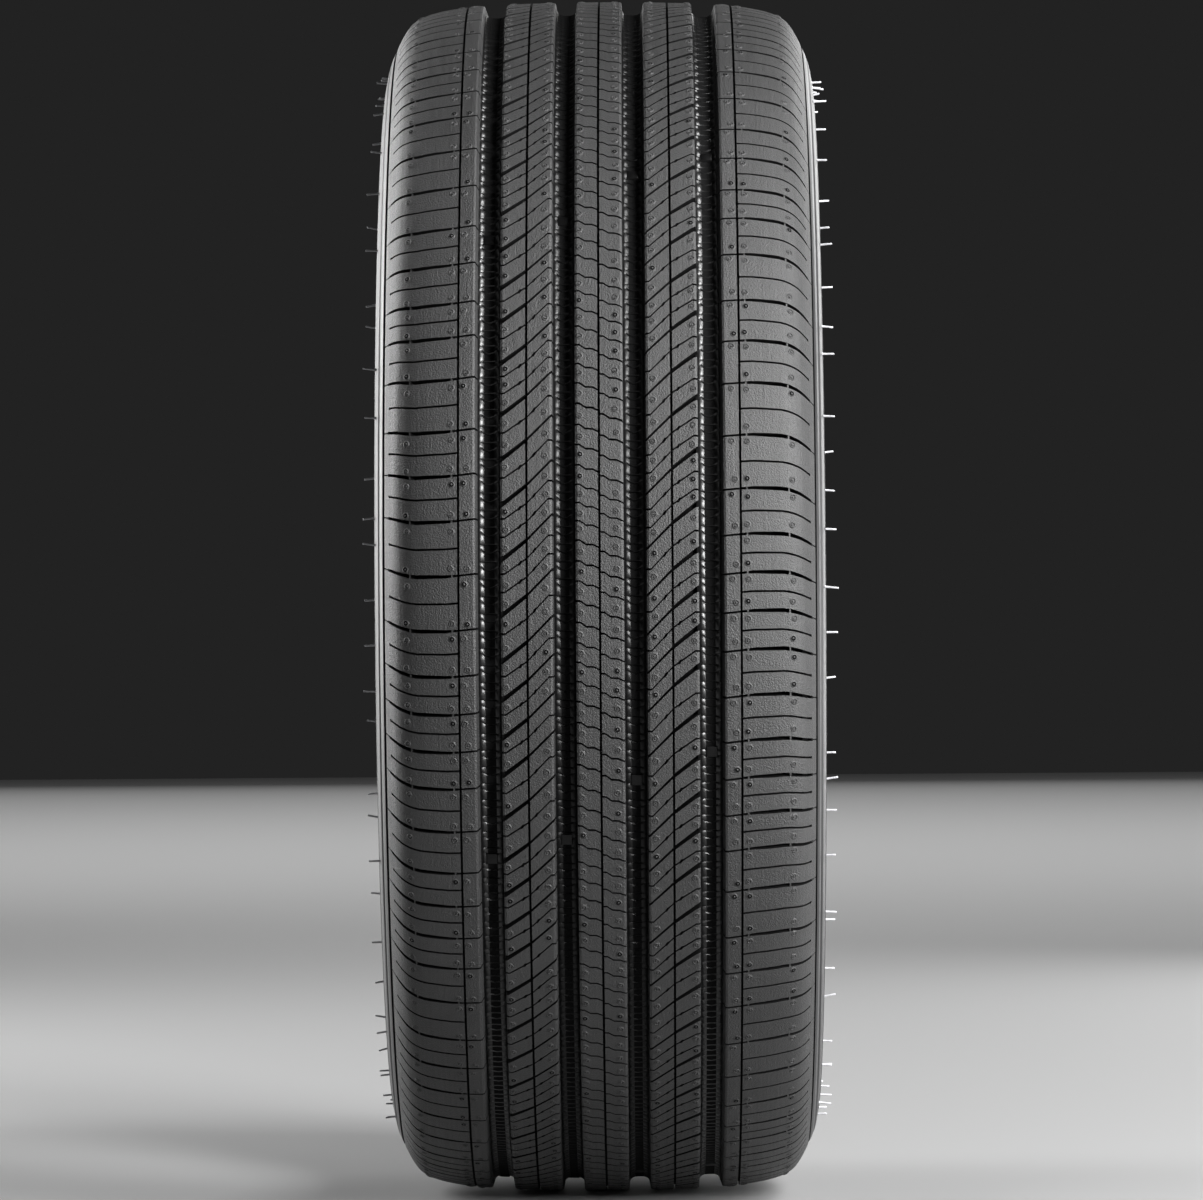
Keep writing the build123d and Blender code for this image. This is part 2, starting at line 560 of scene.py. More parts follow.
class CellTree(GeoTree):
    """Repeats kinds of flat cell at given places, wraps them round the tyre and coats them, with a dark
    finish of painted shade on the faces deep in hollows.
    """

    def __init__(self, name: str, wrap: WrapTree, kinds: int) -> None:
        """Builds the tree.

        Args:
            name: The tree's name.
            wrap: The tree that bends and wraps.
            kinds: Number of kinds of cell.
        """
        super().__init__(name)
        cells = [self.input(f"Cell {i + 1}", "Object") for i in range(kinds)]
        side, sharp = self.input("Side"), self.input("Sharp Angle")
        flat = {"Section": self.input("Section", "Object")}
        flat |= {key: self.input(key) for key in ("Section Start", "Turn Length")}
        plain, deep = self.input("Material", "Material"), self.input("Deep Material", "Material")

        half_turn = self.math("MULTIPLY", self.math("SUBTRACT", 1.0, side), math.pi / 2)
        euler = self.xyz(Z=half_turn)
        scale = self.xyz(X=self.named("stretch"), Y=1.0, Z=1.0)
        join = self.node("GeometryNodeJoinGeometry").node
        for i, cell in enumerate(cells):
            chosen = self.compare("EQUAL", self.named("kind"), float(i), Epsilon=0.1)
            self.link(self.spread(self.shape(cell), euler, scale, chosen), join.inputs[0])
        real = self.node("GeometryNodeRealizeInstances", {0: join.outputs[0]})
        shift = self.xyz(X=self.math("MULTIPLY", self.named("wave"), side))
        flat["Geometry"] = self.node("GeometryNodeSetPosition", {"Geometry": real, "Offset": shift})
        wrapped = self.node("GeometryNodeGroup", flat, node_tree=wrap.tree)
        merged = self.node("GeometryNodeMergeByDistance", {0: wrapped, "Distance": MERGE_DISTANCE})
        steep = self.compare("GREATER_THAN", self.node("GeometryNodeInputMeshEdgeAngle"), sharp)
        folds = {0: self.smooth(merged), "Selection": steep, "Shade Smooth": False}
        edged = self.node("GeometryNodeSetShadeSmooth", folds, domain="EDGE")
        # Painted shade: faces whose deep attribute is past the threshold take the dark, matte shade finish.
        painted_shade = self.compare("GREATER_THAN", self.named("deep"), PAINTED_SHADE_FROM)
        self.finish(self.coat(self.coat(edged, plain), deep, painted_shade))


@dataclass
class Slit:
    """A slit in a flat cell: its outline of (s, u) points and how deep its floor lies."""

    outline: list[Point]
    depth: float
    bridge: bool = False

    @classmethod
    def across(cls, stations: Points, depth: float) -> "Slit":
        """A slit that runs across the tread, by stations of (u, s, width along s) in order of u."""
        upper, lower = ([(s + way * width / 2, u) for u, s, width in stations] for way in (1, -1))
        return cls(upper + lower[::-1], depth)

    @classmethod
    def along(cls, edges: Point, span: Point, depth: float) -> "Slit":
        """A slit that runs round the tread, between two edges and over the whole length of a cell."""
        (low, high), (start, end) = edges, span
        return cls([(start, low), (end, low), (end, high), (start, high)], depth)

    @classmethod
    def hole(cls, u: float, s: float, radius: float, depth: float) -> "Slit":
        """A small round hole, drawn with six sides."""
        return cls([(s + x, u + y) for x, y, _ in circle(radius, 6)], depth)

    @classmethod
    def tie(cls, u: float, s: float, size: Point, depth: float) -> "Slit":
        """A small bridge of rubber across a slit, by its size along u and s."""
        return cls([(s + i * size[1] / 2, u + j * size[0] / 2) for i, j in CORNERS], depth, True)


@dataclass
class FlatCell:
    """A flat piece of tread with slits, which is repeated round the tyre.

    The uncut surface follows the table relief of (u, h), and every point is moved along s by the table wave
    of (u, s) once it is placed, so that cells of any length meet their neighbours.
    """

    name: str
    span: Point
    rows: list[float]
    slits: list[Slit]
    relief: Table
    wave: Table
    columns: int = 5
    painted_shade_edge: float = -math.inf
    clear: float = 0.45
    level: float = 0.001
    slit_fade: float = 2.4
    wall_fade: float = 14.0

    def build(self) -> Object:
        """Cuts the slits and makes the cell a helper object.

        Returns:
            The object, in flat coordinates.
        """
        places, triangles, depths = self._triangles()
        points: list[Triple] = []
        deep: list[float] = []
        index: dict[tuple[int, float], int] = {}

        def vertex(i: int, depth: float) -> int:
            """Finds a point of the plan on the uncut surface, or on a slit's floor.

            Args:
                i: Its number in the plan.
                depth: Depth of the floor, or 0.

            Returns:
                Its number in the cell.
            """
            s, u = places[i]
            top = blend_between(self.relief, u)
            h = min(top, -depth) if depth else top
            key = (i, round(h, 4))
            if key not in index:
                index[key] = len(points)
                points.append((s, u, h))
                # Painted shade: points cut below the surface, or past the shade edge, darken over slit_fade
                # mm of depth, and points on the rib walls over wall_fade mm.
                cut = h < top - self.level or u < self.painted_shade_edge
                deep.append(min(1.0, max(0.0, -h / (self.slit_fade if cut else self.wall_fade))))
            return index[key]

        faces = []
        edges: dict[tuple[int, int], float] = {}
        for triangle, depth in zip(triangles, depths):
            faces.append([vertex(i, depth) for i in triangle])
            for a, b in zip(triangle, triangle[1:] + triangle[:1]):
                edges[a, b] = depth
        for (a, b), depth in edges.items():
            below = edges.get((b, a), depth)
            if below > depth:
                corners = (vertex(b, depth), vertex(a, depth), vertex(a, below), vertex(b, below))
                wall = list(dict.fromkeys(corners))
                if len(wall) > 2:
                    faces.append(wall)
        wave = [blend_between(self.wave, u) * MM for _, u, _ in points]
        return Workshop.cell(self.name, points, faces, deep, wave)

    def _triangles(self) -> tuple[list[Point], list[list[int]], list[float]]:
        """Divides the plan into triangles that keep every slit's outline.

        Returns:
            The plan's points, the triangles and each triangle's depth.
        """
        low, high = self.span
        steps = [low + (high - low) * i / self.columns for i in range(self.columns + 1)]
        outline = [(s, self.rows[0]) for s in steps[:-1]] + [(high, u) for u in self.rows[:-1]]
        outline += [(s, self.rows[-1]) for s in steps[:0:-1]] + [(low, u) for u in self.rows[:0:-1]]
        plan: list[Point] = []
        edges: list[tuple[int, int]] = []
        faces: list[list[int]] = []
        for ring in (outline, *(slit.outline for slit in self.slits)):
            area = sum(a[0] * b[1] - b[0] * a[1] for a, b in zip(ring, ring[1:] + ring[:1]))
            faces.append(list(range(len(plan), len(plan) + len(ring))))
            plan += ring if area > 0 else ring[::-1]
        folds = [u for u, _ in self.relief]
        for u in self.rows[1:-1]:
            inner = [(s, u) for s in steps[1:-1] if self._is_clear(s, u)]
            if u in folds:
                inner = [(low, u), *inner, (high, u)]
                edges += [(len(plan) + i, len(plan) + i + 1) for i in range(len(inner) - 1)]
            plan += inner
        found = delaunay_2d_cdt([Vector(p) for p in plan], edges, faces, 1, 1e-5, True)
        triangles, depths = [], []
        for face, sources in zip(found[2], found[5]):
            if 0 in sources:
                cuts = [self.slits[k - 1] for k in sources if k]
                ties = [cut.depth for cut in cuts if cut.bridge]
                floors = [cut.depth for cut in cuts if not cut.bridge]
                triangles.append(list(face))
                depths.append(min(ties) if ties and floors else max(floors, default=0.0))
        return [(p.x, p.y) for p in found[0]], triangles, depths

    def _is_clear(self, s: float, u: float) -> bool:
        """Tells whether a plain point of the grid lies clear of every slit's outline.

        Args:
            s: Its place round the tread.
            u: Its place along the section.

        Returns:
            True if it does.
        """
        spot = Vector((s, u))
        for slit in self.slits:
            ring = [Vector(p) for p in slit.outline]
            for a, b in zip(ring, ring[1:] + ring[:1]):
                reach = max(0.0, min(1.0, (spot - a).dot(b - a) / max((b - a).length_squared, 1e-9)))
                if (spot - a - (b - a) * reach).length < self.clear:
                    return False
        return True


@dataclass(frozen=True)
class RubberFinish:
    """A moulded rubber: its greys, gloss and grain, with sizes in millimetres, and the grey of painted shade
    that its deep faces darken to.
    """

    name: str
    greys: Point
    painted_shade_grey: float
    rough: Point
    gloss: float
    grain: Point
    streak: Point
    deep_rough: float = 0.9
    ior: float = 1.5
    blue_tint: float = 1.04
    cloud_scale: float = 38.0
    cloud_share: float = 0.45
    streak_turns: float = 6.0

    def material(self) -> Material:
        """Builds the material's nodes.

        Returns:
            The material.
        """
        material = bpy.data.materials.new(self.name)
        material.use_nodes = True
        tree = NodeTree(material.node_tree)
        shader = tree.tree.nodes["Principled BSDF"].inputs
        shader["Specular IOR Level"].default_value = self.gloss
        shader["IOR"].default_value = self.ior

        spot = tree.node("ShaderNodeTexCoord", out="Object")
        x, y, z = tree.split(spot)
        radius = tree.node("ShaderNodeVectorMath", {0: tree.xyz(X=x, Y=z)}, "Value", operation="LENGTH")
        round_tyre = tree.xyz(X=tree.math("ARCTAN2", z, x), Y=y, Z=radius)
        fine, depth = 1 / (self.grain[0] * MM), self.grain[1] * MM
        thin, lines_depth = 1 / (self.streak[0] * MM), self.streak[1] * MM

        grain = tree.noise(spot, fine, 3.0, 0.6)
        cloud = tree.noise(spot, self.cloud_scale, 4.0)
        stretch = (self.streak_turns, thin, thin)
        long_lines = tree.node("ShaderNodeMapping", {"Vector": round_tyre, "Scale": stretch})
        streak = tree.noise(long_lines, 1.0, 3.0)

        tone = tree.ranged(tree.mix(self.cloud_share, grain, cloud), 0.32, 0.68, self.greys)
        # Painted shade: the base colour darkens towards the deep grey by the deep attribute, in slits,
        # grooves and hollows where shade falls.
        painted_shade = tree.node("ShaderNodeAttribute", out="Fac", attribute_name="deep")
        shade = tree.mix(painted_shade, tone, self.painted_shade_grey)
        blue = tree.math("MULTIPLY", shade, self.blue_tint)
        tree.link(tree.node("ShaderNodeCombineColor", {0: shade, 1: shade, 2: blue}), shader["Base Color"])

        rough = tree.ranged(tree.mix(0.5, grain, streak), 0.3, 0.7, self.rough)
        tree.link(tree.mix(painted_shade, rough, self.deep_rough), shader["Roughness"])

        lines = {"Height": streak, "Strength": 0.6, "Distance": lines_depth}
        bump = {"Height": grain, "Strength": 0.8, "Distance": depth}
        bump["Normal"] = tree.node("ShaderNodeBump", lines)
        tree.link(tree.node("ShaderNodeBump", bump), shader["Normal"])
        return material


TREAD_RUBBER = RubberFinish(
    "tread_rubber", greys=(0.0015, 0.008), painted_shade_grey=0.002, rough=(0.52, 0.68), gloss=0.75,
    grain=(0.85, 0.7), streak=(1.4, 0.22),
)
# Painted shade: a near-black, matte rubber for the walls and floors of slits, groove floors, the parting line
# and mark basins, where shade falls.
PAINTED_SHADE_RUBBER = RubberFinish(
    "slit_rubber", greys=(0.002, 0.005), painted_shade_grey=0.002, rough=(0.8, 0.95), gloss=0.1,
    grain=(1.3, 0.3), streak=(1.4, 0.1),
)
# Painted shade: the groove rubbers are darker copies of the tread rubber, so that the grooves stay black;
# their gloss is what makes the dashes on the fillets bright.
GROOVE_RUBBER = RubberFinish(
    "groove_rubber", greys=(0.001, 0.003), painted_shade_grey=0.001, rough=(0.29, 0.37), gloss=0.5,
    grain=(1.2, 0.08), streak=(1.6, 0.05), deep_rough=0.4,
)
INNER_GROOVE_RUBBER = RubberFinish(
    "inner_groove_rubber", greys=(0.001, 0.003), painted_shade_grey=0.001, rough=(0.32, 0.40), gloss=0.23,
    grain=(1.2, 0.08), streak=(1.6, 0.05), deep_rough=0.4,
)
SIDEWALL_RUBBER = RubberFinish(
    "sidewall_rubber", greys=(0.009, 0.017), painted_shade_grey=0.003, rough=(0.44, 0.58), gloss=0.45,
    grain=(0.8, 0.12), streak=(1.0, 0.08),
)
# Painted highlight: the hairs are a pale grey that stands in for the light which the black rubber hairs
# catch.
PAINTED_SHEEN_HAIR_RUBBER = RubberFinish(
    "hair_rubber", greys=(0.3, 0.42), painted_shade_grey=0.22, rough=(0.42, 0.55), gloss=0.55,
    grain=(1.0, 0.05), streak=(1.0, 0.02),
)


@dataclass
class Tread:
    """What the rows of the tread share: the section, the pitches, the edges of ribs and the thin grooves."""

    section: TreadSection
    row: PitchRow
    wrap: WrapTree
    rubber: Material
    # The dark finish of slits and hollows, which is painted shade.
    slit_rubber: Material
    slit_depth: float = 4.2
    slot_depth: float = 6.6
    thin_width: float = 1.2
    thin_depth: float = 2.4
    edge: Table = ((-1.1, 0.0), (0.0, -0.46))

    def edge_line(self, edge: float, outward: int, run: float) -> list[Point]:
        """Line (u, h) over a rib's edge and down its wall, towards +u or -u by the sign of outward."""
        return [(edge + outward * past, h) for past, h in (*self.edge, (run, -self.slit_depth))]

    def thin_edges(self, u: float) -> Point:
        """Both edges of a thin groove round the tread."""
        return u - self.thin_width / 2, u + self.thin_width / 2

    def lay(self, name: str, cells: Sequence[Object], spots: Sequence[Spot], side: Side = Side.LEFT,
            rubbers: Sequence[Material] = (), sharp: float = 0.36, section: Section | None = None) -> Object:
        """Lays cells round the tyre and makes them one piece.

        Args:
            name: Name of the piece.
            cells: The cells, one for each kind.
            spots: (s, u, kind, stretch) of each cell.
            side: The half of the tread.
            rubbers: The finishes of its plain faces and of its deep faces, whose dark finish is painted
                shade, if not the tread's own.
            sharp: Angle in radians past which an edge is sharp.
            section: The line that the cells are bent onto, if not the tread's own.

        Returns:
            The finished object.
        """
        _, _, kinds, stretches = zip(*spots)
        mesh = Workshop.mesh(name, [(s, u, 0.0) for s, u, _, _ in spots], (),
                             {"kind": kinds, "stretch": stretches})
        section = section or self.section
        plain, deep = rubbers or (self.rubber, self.slit_rubber)
        settings: dict[str, object] = {f"Cell {i + 1}": cell for i, cell in enumerate(cells)}
        settings |= {
            "Side": float(-side.value),
            "Section": section.curve,
            "Section Start": section.start * MM,
            "Turn Length": self.row.turn * MM,
            "Sharp Angle": sharp,
            "Material": plain,
            "Deep Material": deep,
        }
        return Workshop.bake(CellTree(f"{name}_cells", self.wrap, len(cells)), mesh, settings)


@dataclass
class PitchedRib:
    """A row of blocks that follows the pitches."""

    tread: Tread
    name: str = "rib"

    def build(self, side: Side) -> Object:
        """Builds the row of one half of the tread."""
        spots = [(s, 0.0, float(pitch.index), 1.0) for s, pitch in self.tread.row.cells(side)]
        return self.tread.lay(f"{self.name}_{side.name.lower()}", [*map(self.cell, Pitch)], spots, side)

    def cell(self, pitch: Pitch) -> Object:
        """Lays out the cell of one pitch, on the left half."""
        raise NotImplementedError


@dataclass
class ShoulderRib(PitchedRib):
    """A shoulder: the land with its cross slots and sipes, and the strip beside the outer main groove."""

    name: str = "shoulder"
    inner_edge: float = 64.5
    thin_groove: float = 73.2
    outer_edge: float = 112.1
    lip: float = 0.12
    skirt: float = 2.6
    start: float = 5.0
    bend: Table = (
        (64.3, 1.4), (73.2, 0.5), (80, 0), (95, 0), (99, 0.5), (103, 1.6), (107, 3.2), (110, 4.6),
        (112.1, 5.6),
    )
    slot_widths: Table = (
        (73.2, 1.1), (76, 1.4), (80, 1.7), (86, 1.95), (92, 2.15), (95, 2.15), (98, 2.1), (100.5, 2.0),
        (103, 1.9), (105, 1.8), (107, 1.7),
    )
    slot_end: Table = ((107, 1.7), (108.6, 1.6), (110.2, 1.45))
    slot_end_depth: float = 2.8
    slot_tail: Table = ((110.2, 0.75), (111.2, 0.7))
    slot_tail_depth: float = 0.9
    sipe_sides: Numbers = (80, 86, 92, 95, 98, 100.5, 103, 105, 107)
    sipe_width: float = 1.1
    sipe_end: float = 109.4
    sipe_end_depth: float = 1.9
    sipe_end_radius: float = 0.88
    wall_run: float = 1.1
    ties: Numbers = (76.6, 98.6)
    tie_size: Point = (0.85, 2.7)
    tie_depth: float = 0.4
    extra_rows: Numbers = (93, 100, 104, 108)
    row_gap: float = 2.9

    def _u(self, v: float) -> float:
        """Place on the left half of the section."""
        return -self.tread.section.u(v)

    def cell(self, pitch: Pitch) -> Object:
        """Lays out the cell of one pitch, on the left half.

        Args:
            pitch: The pitch.

        Returns:
            The cell.
        """
        u, deep, wide = self._u, self.tread.slit_depth, self.sipe_width
        inner, thin, outer = u(self.inner_edge), u(self.thin_groove), u(self.outer_edge)
        low, middle = outer - self.lip, -pitch.length / 2
        span = (self.start - pitch.length, self.start)
        thin_edges = self.tread.thin_edges(thin)
        wall = self.tread.edge_line(inner, 1, self.wall_run)
        relief = [(outer - self.lip / 2, -self.skirt), (outer - self.lip / 3, 0.0), (outer, 0.0), *wall]
        fixed = [low, outer, *thin_edges, *(at for at, _ in wall), *map(u, self.extra_rows)]

        tail = [(u(v), 0.0, w) for v, w in self.slot_tail]
        tail += [(at, 0.0, self.slot_tail[-1][1]) for at in (outer, low)]
        sipe = [(u(v), middle, wide) for v in (self.thin_groove, *self.sipe_sides, self.sipe_end)]
        slits = [
            Slit.along(thin_edges, span, self.tread.thin_depth),
            Slit.across([(u(v), 0.0, w) for v, w in self.slot_widths], self.tread.slot_depth),
            Slit.across([(u(v), 0.0, w) for v, w in self.slot_end], self.slot_end_depth),
            Slit.across(tail, self.slot_tail_depth),
            Slit.across([(at, 0.0, wide) for at in (thin, inner, wall[-1][0])], deep),
            Slit.across(sipe[:-1], deep),
            Slit.across(sipe[-2:], self.sipe_end_depth),
            Slit.hole(u(self.sipe_end), middle, self.sipe_end_radius, self.sipe_end_depth),
            *(Slit.tie(u(v), 0.0, self.tie_size, self.tie_depth) for v in self.ties),
        ]
        wave = [(u(v), s) for v, s in reversed(self.bend)]
        name, rows = f"{self.name}_{pitch.name.lower()}", rows_between(fixed, self.row_gap)
        # Painted shade: the skirt's wall at the parting line is darkened as if it were cut.
        return FlatCell(name, span, rows, slits, relief, wave, painted_shade_edge=relief[0][0]).build()


@dataclass
class MiddleRib(PitchedRib):
    """A middle rib: slanted slots and sipes on both sides of a thin groove."""

    name: str = "middle_rib"
    outer_edge: float = 51.3
    thin_groove: float = 37.7
    inner_edge: float = 24.5
    start: float = 4.2
    slant: Table = ((-51.3, 7.8), (-37.7, 18.7), (-24.6, 32.0))
    hook: Table = ((-51.3, 2.9), (-49.2, 1.2), (-37.7, 0.0), (-26.6, 0.6), (-24.6, -1.4))
    mouth: Points = ((-51.3, 0.7, 3.6), (-50.5, 0.4, 3.2))
    slot: Points = ((-50.5, 0.4, 3.3), (-49.6, 0.15, 3.0), (-44.0, 0.0, 2.75), (-37.7, 0.0, 2.45))
    slot_inner: Points = ((-37.7, 0.0, 1.75), (-31.0, 0.0, 1.65), (-25.3, 0.0, 1.55))
    sipe_width: float = 1.05
    outer_run: float = 0.3
    inner_run: float = 0.7
    holes: Numbers = (41.2, 33.8)
    hole_radius: float = 1.15
    row_gap: float = 3.3
    columns: int = 6

    def cell(self, pitch: Pitch) -> Object:
        """Lays out the cell of one pitch, on the left half.

        Args:
            pitch: The pitch.

        Returns:
            The cell.
        """
        deep, slot_depth = self.tread.slit_depth, self.tread.slot_depth
        span = (self.start - pitch.length, self.start)
        thin_edges = self.tread.thin_edges(-self.thin_groove)
        relief = self.tread.edge_line(-self.outer_edge, -1, self.outer_run)
        relief = sorted(relief + self.tread.edge_line(-self.inner_edge, 1, self.inner_run))
        first, last = relief[0][0], relief[-1][0]
        slits = [
            Slit.along(thin_edges, span, self.tread.thin_depth),
            Slit.across([(first, *self.mouth[0][1:]), *self.mouth], deep),
            Slit.across(self.slot, slot_depth),
            Slit.across(self.slot_inner, slot_depth),
            Slit.across([self.slot_inner[-1], (last, *self.slot_inner[-1][1:])], deep),
        ]
        line = [(first, self.hook[0][1]), *self.hook, (last, self.hook[-1][1])]
        for i in range(1, pitch.parts):
            at = -pitch.length * i / pitch.parts
            slits.append(Slit.across([(u, at + s, self.sipe_width) for u, s in line], deep))
            for v in self.holes:
                slits.append(Slit.hole(-v, at + blend_between(self.hook, -v), self.hole_radius, deep))
        name = f"{self.name}_{pitch.name.lower()}"
        rows = rows_between([*(u for u, _ in relief), *thin_edges], self.row_gap)
        return FlatCell(name, span, rows, slits, relief, self.slant, self.columns).build()


@dataclass
class CentreRib:
    """The centre rib: waved sipes on both sides of a thin groove."""

    tread: Tread
    half_width: float = 12.4
    sipe_width: float = 1.05
    wall_run: float = 0.3
    start: float = 4.5
    length: float = 11.0
    offset: float = 24.0
    waves: Table = (
        (-10.2, 0), (-7, -2.3), (-3.4, -2.4), (-0.45, -3.9), (0.45, -5.9), (2.4, -6.0), (5.4, -8.2),
        (9.0, -8.4), (12.4, -9.9),
    )
    row_gap: float = 3.2
    columns: int = 3

    def sipes(self) -> list[float]:
        """Finds the sipes: each lies midway between the block lines of the two halves.

        Returns:
            Their places, from the top down.
        """
        row = self.tread.row
        left, right = row.parts(Side.LEFT, self.offset), row.parts(Side.RIGHT, -self.offset)
        shift = min(range(len(right)), key=lambda i: abs(right[i] - left[0]))
        right = right[shift:] + [place - row.turn for place in right[:shift]]
        return [(a + b) / 2 for a, b in zip(left, right)]

    def build(self) -> Object:
        """Builds the rib.

        Returns:
            The finished object.
        """
        span = (self.start - self.length, self.start)
        thin_edges = self.tread.thin_edges(0.0)
        edges = [self.tread.edge_line(way * self.half_width, way, self.wall_run) for way in (-1, 1)]
        relief = sorted(edges[0] + edges[1])
        bends = [u for u, _ in self.waves]
        rows = rows_between([*(u for u, _ in relief), *thin_edges, *bends], self.row_gap)
        line = [(u, 0.0, self.sipe_width) for u in (relief[0][0], *bends, relief[-1][0])]
        slits = [
            Slit.along(thin_edges, span, self.tread.thin_depth),
            Slit.across(line, self.tread.slit_depth),
        ]
        cell = FlatCell("centre_rib_cell", span, rows, slits, relief, self.waves, self.columns).build()
        places = self.sipes()
        spots = []
        for here, after in zip(places, places[1:] + [places[0] - self.tread.row.turn]):
            stretch = (here - after) / self.length
            spots.append((here - self.start * stretch, 0.0, 0.0, stretch))
        return self.tread.lay("centre_rib", [cell], spots)


@dataclass
class MainGrooves:
    """The four main grooves: rounded floors with fine notches across them, and wear bars."""

    tread: Tread
    centres: Numbers = (-57.9, -18.45, 18.45, 57.9)
    widths: Numbers = (13.2, 12.1, 12.1, 13.2)
    depth: float = 7.35
    links: int = 228
    sharp: float = 0.5
    floor_shade: float = 0.55
    notch_depth: float = 0.5
    notch_widths: Table = ((0.0, 0.5), (0.9, 2.1), (2.6, 1.8), (3.4, 0.95), (5.0, 0.95))
    fall: Table = ((0, -4.2), (0.3, -5.4), (0.9, -6.15), (1.7, -6.65), (2.5, -6.98), (3.3, -7.24))
    lean: Table = ((0.0, 0.26), (1.8, 0.35), (5.0, 0.52))
    bar_starts: Numbers = (35.2, 37.2, 43.0, 45.6)
    bar_count: int = 6
    bar_length: float = 6.9
    bar_margin: float = 2.6
    bar_rings: Table = ((0.0, -0.6), (0.6, 0.7), (1.2, 0.9))
    bar_shade: float = 0.1

    def build(self) -> list[Object]:
        """Builds the groove floors and the wear bars.

        Returns:
            The finished objects.
        """
        floor = self.tread.slit_rubber
        outer, inner = (GROOVE_RUBBER.material(), floor), (INNER_GROOVE_RUBBER.material(), floor)
        return [
            self._floors("outer_grooves", (0, 3), outer),
            self._floors("inner_grooves", (1, 2), inner),
            self._bars(inner),
        ]

    def _floors(self, name: str, pair: tuple[int, int], rubbers: Sequence[Material]) -> Object:
        """Builds the floors of two grooves.

        Args:
            name: Name of the piece.
            pair: Numbers of the grooves, from the left.
            rubbers: The finishes of their sides, and the dark finish of their floors, which is painted shade.

        Returns:
            The finished object.
        """
        step = self.tread.row.turn / self.links
        shoulder, centre_rib = ShoulderRib.wall_run, CentreRib.wall_run
        outside, painted_shade = MiddleRib.outer_run, MiddleRib.inner_run
        runs = ((shoulder, outside), (painted_shade, centre_rib), (centre_rib, painted_shade), (outside, shoulder))
        cells = [self._link((self.widths[k], *runs[k]), step) for k in pair]
        spots = [
            (i * step, self.centres[k], float(kind), 1.0)
            for kind, k in enumerate(pair)
            for i in range(self.links)
        ]
        return self.tread.lay(name, cells, spots, rubbers=rubbers, sharp=self.sharp)

    def _link(self, form: Triple, step: float) -> Object:
        """Lays out one link of a groove's floor, with two notches across it.

        Args:
            form: The groove's width between the rib edges, and the runs of its left and right walls.
            step: Length of the link.

        Returns:
            The cell.
        """
        width, left, right = form
        rows = [(left + past - width / 2, h, past) for past, h in self.fall]
        rows.append(((left - right) / 2, -self.depth, self.lean[-1][0]))
        rows += [(width / 2 - right - past, h, past) for past, h in reversed(self.fall)]
        points, deep = [], []
        for u, h, past in rows:
            second = step * blend_between(self.lean, past)
            notch = blend_between(self.notch_widths, past) / 2
            cut = self.notch_depth if past > 0 else 0.0
            # Painted shade: rows on the floor past the fillet get the dark, matte shade finish; the notches'
            # bottoms stay glossy.
            shade = self.floor_shade if past >= self.fall[-1][0] else 0.0
            for middle, after in ((0.0, second), (second, step)):
                points += [(-middle, u, h - cut), (-middle - notch, u, h), (notch - after, u, h)]
                deep += [0.0, shade, shade]
            points.append((-step, u, h - cut))
            deep.append(0.0)
        across = len(points) // len(rows)
        faces = [
            [a, a + across, a + across + 1, a + 1]
            for i in range(len(rows) - 1)
            for a in range(i * across, (i + 1) * across - 1)
        ]
        return Workshop.cell(f"groove_link_{left}_{right}", points, faces, deep)

    def _bars(self, rubbers: Sequence[Material]) -> Object:
        """Builds the wear bars, stepped from groove to groove.

        Args:
            rubbers: The finishes of the grooves.

        Returns:
            The finished object.
        """
        long, wide = self.bar_length / 2, min(self.widths) / 2 - self.bar_margin
        points, faces = loft([
            [(i * (long - inset), j * (wide - inset), h - self.depth) for i, j in CORNERS]
            for inset, h in self.bar_rings
        ])
        # Painted shade: the bars are darkened a little, like the floors round them.
        cell = Workshop.cell("wear_bar", points, faces, [self.bar_shade] * len(points))
        spots = [
            (self.tread.row.at_angle(start + 360 / self.bar_count * i), centre, 0.0, 1.0)
            for start, centre in zip(self.bar_starts, self.centres)
            for i in range(self.bar_count)
        ]
        return self.tread.lay("wear_bars", [cell], spots, rubbers=rubbers)


